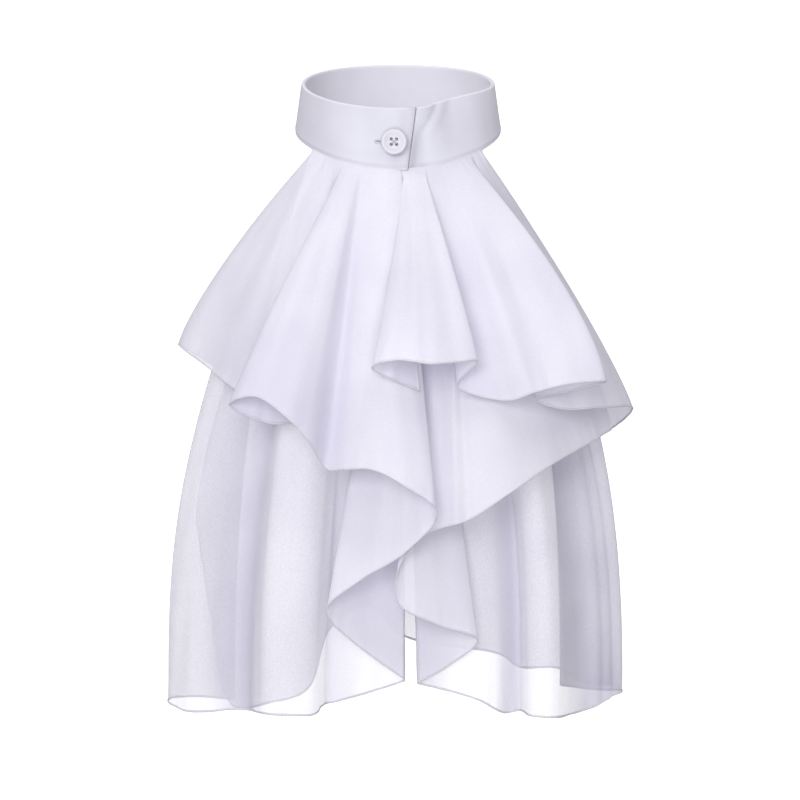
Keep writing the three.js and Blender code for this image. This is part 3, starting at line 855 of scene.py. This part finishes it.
def button_material():
    """Half-gloss plastic, a little clouded, with fine scratches."""
    material, tree = new_material("button_plastic")
    cloud = noise(tree, Scale=260.0, Detail=4.0, Roughness=0.6, Distortion=0.8)
    scratch = noise(tree, Scale=2400.0, Detail=1.0)
    colour = two_tones(tree, cloud, "Fac", (0.61, 0.60, 0.67), (0.67, 0.66, 0.73))
    body = principled(tree, colour, relief(tree, scratch, "Fac", 0.05, 0.0001))
    body.inputs["Coat Weight"].default_value = 0.12
    body.inputs["Coat Roughness"].default_value = 0.3
    link(tree, ramp(tree, cloud, "Fac", 0.3, 0.7, 0.38, 0.5), 0, body, "Roughness")
    finish_material(tree, body)
    return material


def slit_shade_material():
    """Painted shade in the slit between the two rows of buttonhole stitches, dark and finely speckled."""
    material, tree = new_material("slit_painted_shade")
    fluff = noise(tree, Scale=3000.0, Detail=2.0)
    colour = two_tones(tree, fluff, "Fac", (0.26, 0.25, 0.30), (0.42, 0.41, 0.47))
    finish_material(tree, principled(tree, colour, None, Roughness=0.9))
    return material


def thread_material(name, dark, light):
    """Twisted sewing thread."""
    material, tree = new_material(name)
    ply = slanted_wave(tree, 40, Scale=900.0, Distortion=0.6, Detail=1.0)
    colour = two_tones(tree, ply, "Fac", dark, light)
    body = principled(tree, colour, relief(tree, ply, "Fac", 0.6, 0.0001), Roughness=0.7)
    body.inputs["Sheen Weight"].default_value = 0.1
    finish_material(tree, body)
    return material


def paper_material():
    """Pale paper that glows a little, so that it stays light behind the jabot."""
    material, tree = new_material("pale_paper")
    paper = node(tree, "ShaderNodeBsdfPrincipled", Roughness=0.9)
    paper.inputs["Base Color"].default_value = (0.93, 0.93, 0.94, 1)
    paper.inputs["Emission Color"].default_value = (1, 1, 1, 1)
    paper.inputs["Emission Strength"].default_value = 0.75
    finish_material(tree, paper)
    return material


# The last colour of each chiffon is the tint of its painted shade.
CHIFFON = chiffon_material("chiffon", 0.16, 0.06, (0.92, 0.905, 0.985), (0.86, 0.85, 0.90))
SHEER_CHIFFON = chiffon_material("sheer_chiffon", 0.42, 0.07, (0.92, 0.905, 0.985), (0.72, 0.71, 0.77))
HEM = hem_material()
BAND = band_material("band_cloth", (0.66, 0.65, 0.735), (0.71, 0.70, 0.785))
# A lighter copy of the band's cloth: painted light on the inside and a painted highlight on the rim.
BAND_PAINTED_LIGHTER = band_material("band_cloth_painted_lighter", (0.82, 0.81, 0.885), (0.86, 0.85, 0.925))
BUTTON = button_material()
THREAD = thread_material("sewing_thread", (0.50, 0.49, 0.55), (0.62, 0.61, 0.67))
BUTTONHOLE_THREAD = thread_material("buttonhole_thread", (0.60, 0.59, 0.67), (0.72, 0.71, 0.78))
SLIT_SHADE = slit_shade_material()


def finish_piece(piece, material, slot, *nodes):
    piece.data.materials.clear()
    piece.data.materials.append(material)
    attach(piece, "root")
    if nodes:
        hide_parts(*nodes)
    return piece


# Ruffles

def build_ruffles():
    for number, (name, hem, creases, layer, per_span, down, wave) in enumerate(RUFFLES):
        grid, u, v = ruffle_grid(hem, creases, layer, per_span, down, wave, 11 * number + 5)
        material = SHEER_CHIFFON if name in SHEER else CHIFFON
        tone = painted_fold_shade(grid, per_span, SHADES.get(name, []))
        cloth = finish_piece(sheet_object(name + "_cloth", grid, u, v, tone), material, "chiffon", name)
        roll = hem_object(name + "_rolled_hem", grid, FRONT_EDGES.get(name), number)
        finish_piece(roll, HEM, "chiffon")


# Neckband

def band_section():
    """Round the band's wall: share up the flat of a face, depth, and height past the flat's end in mm."""
    edge = BAND_WALL / 2
    section = []
    for i in range(FACE_STEPS + 1):
        section.append((i / FACE_STEPS, 0.0, 0.0))
    for i in range(1, EDGE_STEPS):
        turn = i / EDGE_STEPS * math.pi
        section.append((1.0, edge - edge * math.cos(turn), edge * math.sin(turn)))
    for i in range(FACE_STEPS + 1):
        section.append((1 - i / FACE_STEPS, BAND_WALL, 0.0))
    for i in range(1, EDGE_STEPS):
        turn = i / EDGE_STEPS * math.pi
        section.append((0.0, edge + edge * math.cos(turn), -edge * math.sin(turn)))
    return np.array(section)


def band_relief(angle, up, height, around):
    """How far the face sinks: a seam line above the lower edge, the rim's stitched roll and soft waves."""
    mm_up = up * height
    seam = 1.5 * bell(mm_up, 1.5, 0.6) - 1.6 * bell(mm_up, 2.8, 0.6)
    rim = bell(height - mm_up, 2.2, 0.5)
    stitch = 0.05 * np.sin(2 * math.pi * around / RIM_STITCH)
    wave = waves(around + 0 * up, mm_up + 0 * angle, BAND_SEED, BAND_WAVES, lean=0.3)
    return 0.26 * seam + (0.12 + stitch) * rim + 0.22 * wave


def lap_creases(angle, up):
    """A slanting crease where the rim is drawn in beside the lap, and a soft hollow along the lap."""
    slanted = angle - CREASE_SLANT * up
    crease = bell(slanted, -2, 2.6) * smooth(0.4, 0.75, up)
    swell = bell(slanted, 5, 4.0) * smooth(0.4, 0.8, up)
    hollow = bell(angle, 15, 4.0) * smooth(0.9, 0.45, up)
    bulge = bell(angle, 27, 7.0) * smooth(0.95, 0.4, up)
    return 0.7 * crease - 0.5 * swell + 1.1 * hollow - 0.6 * bulge


def lap_end_shape(angle, up, lap_end):
    """How far the lap's end moves in onto the layer under it, and how far its face is pressed flat."""
    from_end = (lap_end - angle) * math.pi / 180 * BOTTOM_HALF_LENGTH
    below = angle - 360
    gap = rim_pull(below, up) * PULL_DEPTH + layer_inset(below) - BAND_WALL + LAP_OVERLAP
    closed = gap * smooth(LAP_CLOSED_REACH, 1, from_end)
    pressed = LAP_PRESSED * smooth(LAP_PRESSED_REACH, 2, from_end)
    rounded = (BAND_WALL - LAP_PRESSED) * LAP_EDGE_THINNED * smooth(LAP_EDGE_ROUND, 0, from_end)
    return closed, pressed + rounded


def button_dent(around, up):
    """The face is pressed in a little round the button."""
    button_around = math.radians(360 + BUTTON_ANGLE) * BOTTOM_HALF_LENGTH
    return BUTTON_DENT * (bell(around, button_around, 12) * bell(up, BUTTON_UP, 0.35))


def painted_band_shade(past_lap, up, mm_up):
    """Painted shadow on the under layer beside the lap's lower corner, and painted shade in the seam's
    groove under its ridge.
    """
    corner = bell(past_lap, 2, 2.4) * smooth(0.8, 0.25, up)
    seam_shade = bell(mm_up, 1.9, 0.5)
    return np.clip(0.65 * corner + 0.5 * seam_shade, 0, 1)


def band_surface():
    """The band's places, in rings from the under end to the lap's end, with cloth coordinates and painted
    shade.
    """
    section = band_section()
    through = section[None, :, 1]
    outer = through < BAND_WALL / 2
    coarse = np.linspace(0, 1 - LAP_EDGE_SHARE, BAND_STEPS)
    fine = np.linspace(1 - LAP_EDGE_SHARE, 1, LAP_EDGE_STEPS)
    share = np.concatenate([coarse, fine[1:]])[:, None]
    height = band_height(mix(UNDER_END_ANGLE, 360, share))
    up = (BAND_WALL / 2 + section[None, :, 0] * (height - BAND_WALL) + section[None, :, 2]) / height
    mm_up = up * height
    lap_end = 360 + mix(LAP_END_ANGLE_BOTTOM, LAP_END_ANGLE_TOP, up)
    angle = mix(UNDER_END_ANGLE, lap_end, share)
    around = np.radians(angle) * BOTTOM_HALF_LENGTH
    closed, pressed = lap_end_shape(angle, up, lap_end)
    sink = band_relief(angle, up, height, around) + lap_creases(angle, up)
    sink = sink + np.where(outer, pressed, 0) + button_dent(around, up)
    pull = rim_pull(angle, up)
    depth = through + layer_inset(angle) + pull * PULL_DEPTH
    depth = depth + np.where(outer, sink, LINING_RELIEF * sink) + closed
    places = band_place(angle, up, depth)
    places[..., 2] += pull * PULL_LIFT
    uvs = np.stack([around, mm_up + through + 0 * angle], axis=-1) * MM
    return places, uvs, np.where(outer, painted_band_shade(angle - lap_end + 360, up, mm_up), 0)


def paint_rim_and_inside_lighter(band, count):
    """The rim and the inside of the band get a lighter copy of its cloth: painted light on the inside and a
    painted highlight along the rim. The outer face and the ends keep the cloth.
    """
    band.data.materials.append(BAND_PAINTED_LIGHTER)
    painted_lighter = range(FACE_STEPS + 2, 2 * FACE_STEPS + EDGE_STEPS)
    for polygon in band.data.polygons:
        if len(polygon.vertices) == 4 and polygon.vertices[0] % count in painted_lighter:
            polygon.material_index = 1


def turn_faces_out(piece):
    made = bmesh.new()
    made.from_mesh(piece.data)
    bmesh.ops.recalc_face_normals(made, faces=made.faces)
    made.to_mesh(piece.data)
    made.free()


def build_band():
    places, uvs, tone = band_surface()
    steps, count = places.shape[:2]
    faces = []
    for i in range(steps - 1):
        a = i * count
        b = a + count
        faces += [(a + j, b + j, b + (j + 1) % count, a + (j + 1) % count) for j in range(count)]
    faces += end_faces(steps, count)
    band = mesh_object("neckband_cloth", places.reshape(-1, 3), faces, uvs.reshape(-1, 2))
    store_painted_shade(band, tone)
    turn_faces_out(band)
    finish_piece(band, BAND, "band", "neckband")
    paint_rim_and_inside_lighter(band, count)


# Buttonhole, button and thread

def band_frame(angle, up, depth):
    """Where the button sits: X along the band, Y up its face, Z out."""
    place = band_place(angle, up, depth)
    slope = math.atan2(BOTTOM_HALF_LENGTH - TOP_HALF_LENGTH, float(band_height(angle)))
    turn = Matrix.Rotation(math.radians(angle), 4, "Z") @ Matrix.Rotation(math.pi / 2 - slope, 4, "X")
    return Matrix.Translation(Vector(place) * MM) @ turn


def build_buttonhole():
    """Satin stitches round the slit: a flat ring with a ridge for each stitch."""
    count = BUTTONHOLE_STITCHES
    turn = np.arange(count) / count * 2 * math.pi
    straight = BUTTONHOLE_HALF_LENGTH - BUTTONHOLE_HALF_HEIGHT
    x = np.cos(turn) * BUTTONHOLE_HALF_HEIGHT
    x = x + np.sign(np.cos(turn)) * straight * np.minimum(1, np.abs(np.cos(turn)) * 3)
    angle = BUTTON_ANGLE + np.degrees((x - BUTTONHOLE_SHIFT) / BOTTOM_HALF_LENGTH)
    up = BUTTON_UP + np.sin(turn) * BUTTONHOLE_HALF_HEIGHT / float(band_height(BUTTON_ANGLE))
    path = band_place(angle, up, -0.05)
    ahead = unit(np.roll(path, -1, axis=0) - np.roll(path, 1, axis=0))
    out = unit(path * np.array([1, 1, 0]))
    side = unit(np.cross(ahead, out))
    ridge = 1 + 0.18 * np.cos(np.arange(count) * math.pi)[:, None]
    places, faces = sweep(path, side, out * ridge, oval(1.0, 0.35, STITCH_SIDES), closed=True)
    uvs = sweep_uvs(path_lengths(path), STITCH_SIDES, 3)
    ring = mesh_object("buttonhole_stitching", places, faces, uvs)
    finish_piece(ring, BUTTONHOLE_THREAD, "thread")


def build_slit_shade():
    """Painted shade: a dark strip in the slit between the two rows of stitches."""
    straight = BUTTONHOLE_HALF_LENGTH - BUTTONHOLE_HALF_HEIGHT
    x = np.linspace(-straight, straight, 24) - BUTTONHOLE_SHIFT
    angle = BUTTON_ANGLE + np.degrees(x / BOTTOM_HALF_LENGTH)
    path = band_place(angle, BUTTON_UP + 0 * angle, -0.02)
    ahead = unit(np.gradient(path, axis=0))
    out = unit(path * np.array([1, 1, 0]))
    places, faces = sweep(path, unit(np.cross(ahead, out)), out, oval(0.8, 0.5, STITCH_SIDES))
    slit = mesh_object("buttonhole_slit_shade", places, faces)
    finish_piece(slit, SLIT_SHADE, "thread")


def revolve(outline, sides):
    """A turned body from pairs of radius and height, from the axis at the back to the axis at the front."""
    places = [(0, 0, outline[0][1])]
    for radius, height in outline[1:-1]:
        for i in range(sides):
            turn = 2 * math.pi * i / sides
            places.append((radius * math.cos(turn), radius * math.sin(turn), height))
    places.append((0, 0, outline[-1][1]))
    faces = []
    last = len(places) - 1
    rings = len(outline) - 2
    for i in range(sides):
        after = (i + 1) % sides
        faces.append((0, 1 + after, 1 + i))
        for ring in range(rings - 1):
            a = 1 + ring * sides
            b = a + sides
            faces.append((a + i, a + after, b + after, b + i))
        a = 1 + (rings - 1) * sides
        faces.append((a + i, a + after, last))
    return places, faces


def hole_places():
    out = HOLE_SPACING / 2
    return [(out, out), (-out, out), (-out, -out), (out, -out)]


def button_outline(face):
    """Half a section of the button: hollow back, rounded edge, raised rim and sunk face."""
    half = BUTTON_ACROSS / 2
    middle = BUTTON_THICKNESS / 2
    outline = [(0, BUTTON_BACK_WELL), (3.6, BUTTON_BACK_WELL), (4.2, BUTTON_BACK_WELL * 0.55)]
    outline += [(4.5, 0.12), (4.7, 0.0)]
    for i in range(1, BUTTON_EDGE_STEPS):
        turn = -math.pi / 2 + i / BUTTON_EDGE_STEPS * math.pi
        radius = half - BUTTON_EDGE_ROUND + BUTTON_EDGE_ROUND * math.cos(turn)
        outline.append((radius, middle + middle * math.sin(turn)))
    outline += [(half - 1.2, BUTTON_THICKNESS - 0.01), (half - 1.6, BUTTON_THICKNESS - 0.06)]
    outline += [(half - 2.2, face + 0.55), (half - 3.0, face + 0.22)]
    outline += [(half - 3.7, face + 0.04), (half - 4.1, face), (0, face)]
    return outline


def drill_object(x, y, face):
    """A cutter for one hole, flared where it meets the button's face."""
    radius = HOLE_ACROSS / 2
    top = face + 0.12
    outline = [(0, -1), (radius, -1), (radius, face - 0.2), (radius + HOLE_FLARE, top), (0, top)]
    drill, sides = revolve(outline, HOLE_SIDES)
    return mesh_object("drill", [(x + a, y + b, c) for a, b, c in drill], sides)


def cut_holes(button, face):
    cutters = []
    for x, y in hole_places():
        cutters.append(drill_object(x, y, face))
        cut = button.modifiers.new("hole", "BOOLEAN")
        cut.operation = "DIFFERENCE"
        cut.solver = "EXACT"
        cut.object = cutters[-1]
    bpy.context.view_layer.update()
    depsgraph = bpy.context.evaluated_depsgraph_get()
    cut_mesh = bpy.data.meshes.new_from_object(button.evaluated_get(depsgraph))
    button.modifiers.clear()
    button.data = cut_mesh
    for cutter in cutters:
        bpy.data.objects.remove(cutter)


def build_button():
    face = BUTTON_THICKNESS - BUTTON_WELL
    places, faces = revolve(button_outline(face), BUTTON_SIDES)
    button = mesh_object("button_body", places, faces)
    cut_holes(button, face)
    corners = button.modifiers.new("corners", "WEIGHTED_NORMAL")
    corners.keep_sharp = True
    button.data.transform(band_frame(BUTTON_ANGLE, BUTTON_UP, -BUTTON_CLEAR))
    finish_piece(button, BUTTON, "button", "button")


def thread_part(path, across):
    """Places, faces and cloth coordinates of a thread that follows a path."""
    path = np.array(path, dtype=float)
    along = unit(np.gradient(path, axis=0))
    side = unit(np.cross(along, np.array([0.31, 0.87, 0.22])))
    places, faces = sweep(path, side, np.cross(side, along), oval(across, across, THREAD_SIDES))
    return places, faces, sweep_uvs(path_lengths(path), THREAD_SIDES, across * 3)


def strand_path(dx, dy, level, strand, face, back):
    """One strand of a crossing stitch: up a hole, across the face, down the other and back under."""
    out = HOLE_SPACING / 2
    sx = -dy * strand * 0.7
    sy = dx * strand * 0.7
    path = []
    for t in np.arange(25) / 24 * 2 - 1:
        lift = face + 0.12 + 0.16 * level + 0.12 * (1 - t * t)
        path.append((dx * out * t + sx, dy * out * t + sy, lift))
    # inside the holes and at the back the strands lie closer together
    sx = sx * 0.5
    sy = sy * 0.5
    low = [(-dx * out + sx, -dy * out + sy, z) for z in np.linspace(back, face, 8)]
    top = [(dx * out + sx, dy * out + sy, z) for z in np.linspace(back, face, 8)]
    under_z = back - 0.1 * level
    under = [(dx * out * t + sx, dy * out * t + sy, under_z) for t in np.linspace(1, -1, 9)[1:-1]]
    return low[1:] + path + top[::-1][:-1] + under


def shank_path(back):
    """The thread wound round the stitches between the button and the layer under the lap."""
    length = BUTTON_CLEAR + BAND_WALL - 0.2
    steps = SHANK_TURNS * SHANK_TURN_STEPS
    path = []
    for i in range(steps):
        turn = 2 * math.pi * i / SHANK_TURN_STEPS
        z = back - 0.1 - length * i / steps
        path.append((SHANK_HALF_WIDTH * math.cos(turn), SHANK_HALF_HEIGHT * math.sin(turn), z))
    return path


def build_thread():
    """Two strands in each of two crossing stitches through the holes, and a wound shank."""
    face = BUTTON_THICKNESS - BUTTON_WELL
    back = BUTTON_BACK_WELL - 0.55
    parts = []
    for level, (dx, dy) in enumerate(((1, 1), (1, -1))):
        for strand in (-STRAND_OFFSET, STRAND_OFFSET):
            path = strand_path(dx, dy, level, strand, face, back)
            parts.append(thread_part(path, THREAD_ACROSS))
    parts.append(thread_part(shank_path(back), SHANK_THREAD_ACROSS))
    made = joined_object("button_stitches", parts)
    made.data.transform(band_frame(BUTTON_ANGLE, BUTTON_UP, -BUTTON_CLEAR))
    finish_piece(made, THREAD, "thread", "button_thread")


# Stage, lights and camera

def stage_outline():
    """Pairs of y and height in metres: the floor, the bend and the backdrop."""
    outline = [(STAGE_FRONT, FLOOR), (STAGE_BACK - STAGE_BEND, FLOOR)]
    for i in range(1, STAGE_BEND_STEPS + 1):
        turn = i / STAGE_BEND_STEPS * math.pi / 2
        y = STAGE_BACK - STAGE_BEND + STAGE_BEND * math.sin(turn)
        outline.append((y, FLOOR + STAGE_BEND - STAGE_BEND * math.cos(turn)))
    outline.append((STAGE_BACK, STAGE_TOP))
    return outline


def build_stage():
    """A pale floor that sweeps up into a backdrop, well below and behind the hanging jabot."""
    places, faces = [], []
    for y, z in stage_outline():
        for x in (-STAGE_HALF_WIDTH, STAGE_HALF_WIDTH):
            places.append((x * METRE, y * METRE, z * METRE))
    for a in range(0, len(places) - 2, 2):
        faces.append((a, a + 1, a + 3, a + 2))
    stage = mesh_object("floor_and_backdrop", places, faces)
    stage.data.materials.append(paper_material())
    stage.visible_diffuse = False
    stage.visible_transmission = False
    stage.visible_shadow = False


def area_light(name, place, target, size, power):
    data = bpy.data.lights.new(name, "AREA")
    data.shape = "RECTANGLE"
    data.size, data.size_y = size
    data.energy = power
    lamp = bpy.data.objects.new(name, data)
    bpy.context.scene.collection.objects.link(lamp)
    lamp.location = place
    lamp.rotation_euler = (Vector(target) - Vector(place)).to_track_quat("-Z", "Y").to_euler()


def build_lights():
    world = bpy.data.worlds.new("studio")
    bpy.context.scene.world = world
    world.use_nodes = True
    world.node_tree.nodes["Background"].inputs["Color"].default_value = (0.97, 0.97, 1.0, 1)
    world.node_tree.nodes["Background"].inputs["Strength"].default_value = 0.34
    middle = (0.0, -0.03, -0.15)
    area_light("key", (-0.5, -2.5, 0.6), middle, (1.4, 1.1), 32.5)
    area_light("low_fill", (0.1, -2.5, -0.9), middle, (1.6, 0.8), 16.0)
    area_light("overhead", (0.9, -1.0, 1.7), middle, (1.2, 1.2), 11.5)
    area_light("left_top", (-1.5, -0.7, 1.5), middle, (1.0, 1.0), 10.0)


def build_camera():
    data = bpy.data.cameras.new("camera")
    data.sensor_width = SENSOR_WIDTH
    data.lens = SENSOR_WIDTH * DISTANCE / FRAME_WIDTH
    data.clip_end = 50
    camera = bpy.data.objects.new("camera", data)
    bpy.context.scene.collection.objects.link(camera)
    camera.location = TARGET + DISTANCE * Vector((0, -math.cos(ELEVATION), math.sin(ELEVATION)))
    camera.rotation_euler = (math.pi / 2 - ELEVATION, 0, 0)
    bpy.context.scene.camera = camera


bpy.context.scene.view_settings.view_transform = "Standard"
build_camera()
build_ruffles()
build_band()
build_buttonhole()
build_slit_shade()
build_button()
build_thread()
build_stage()
build_lights()
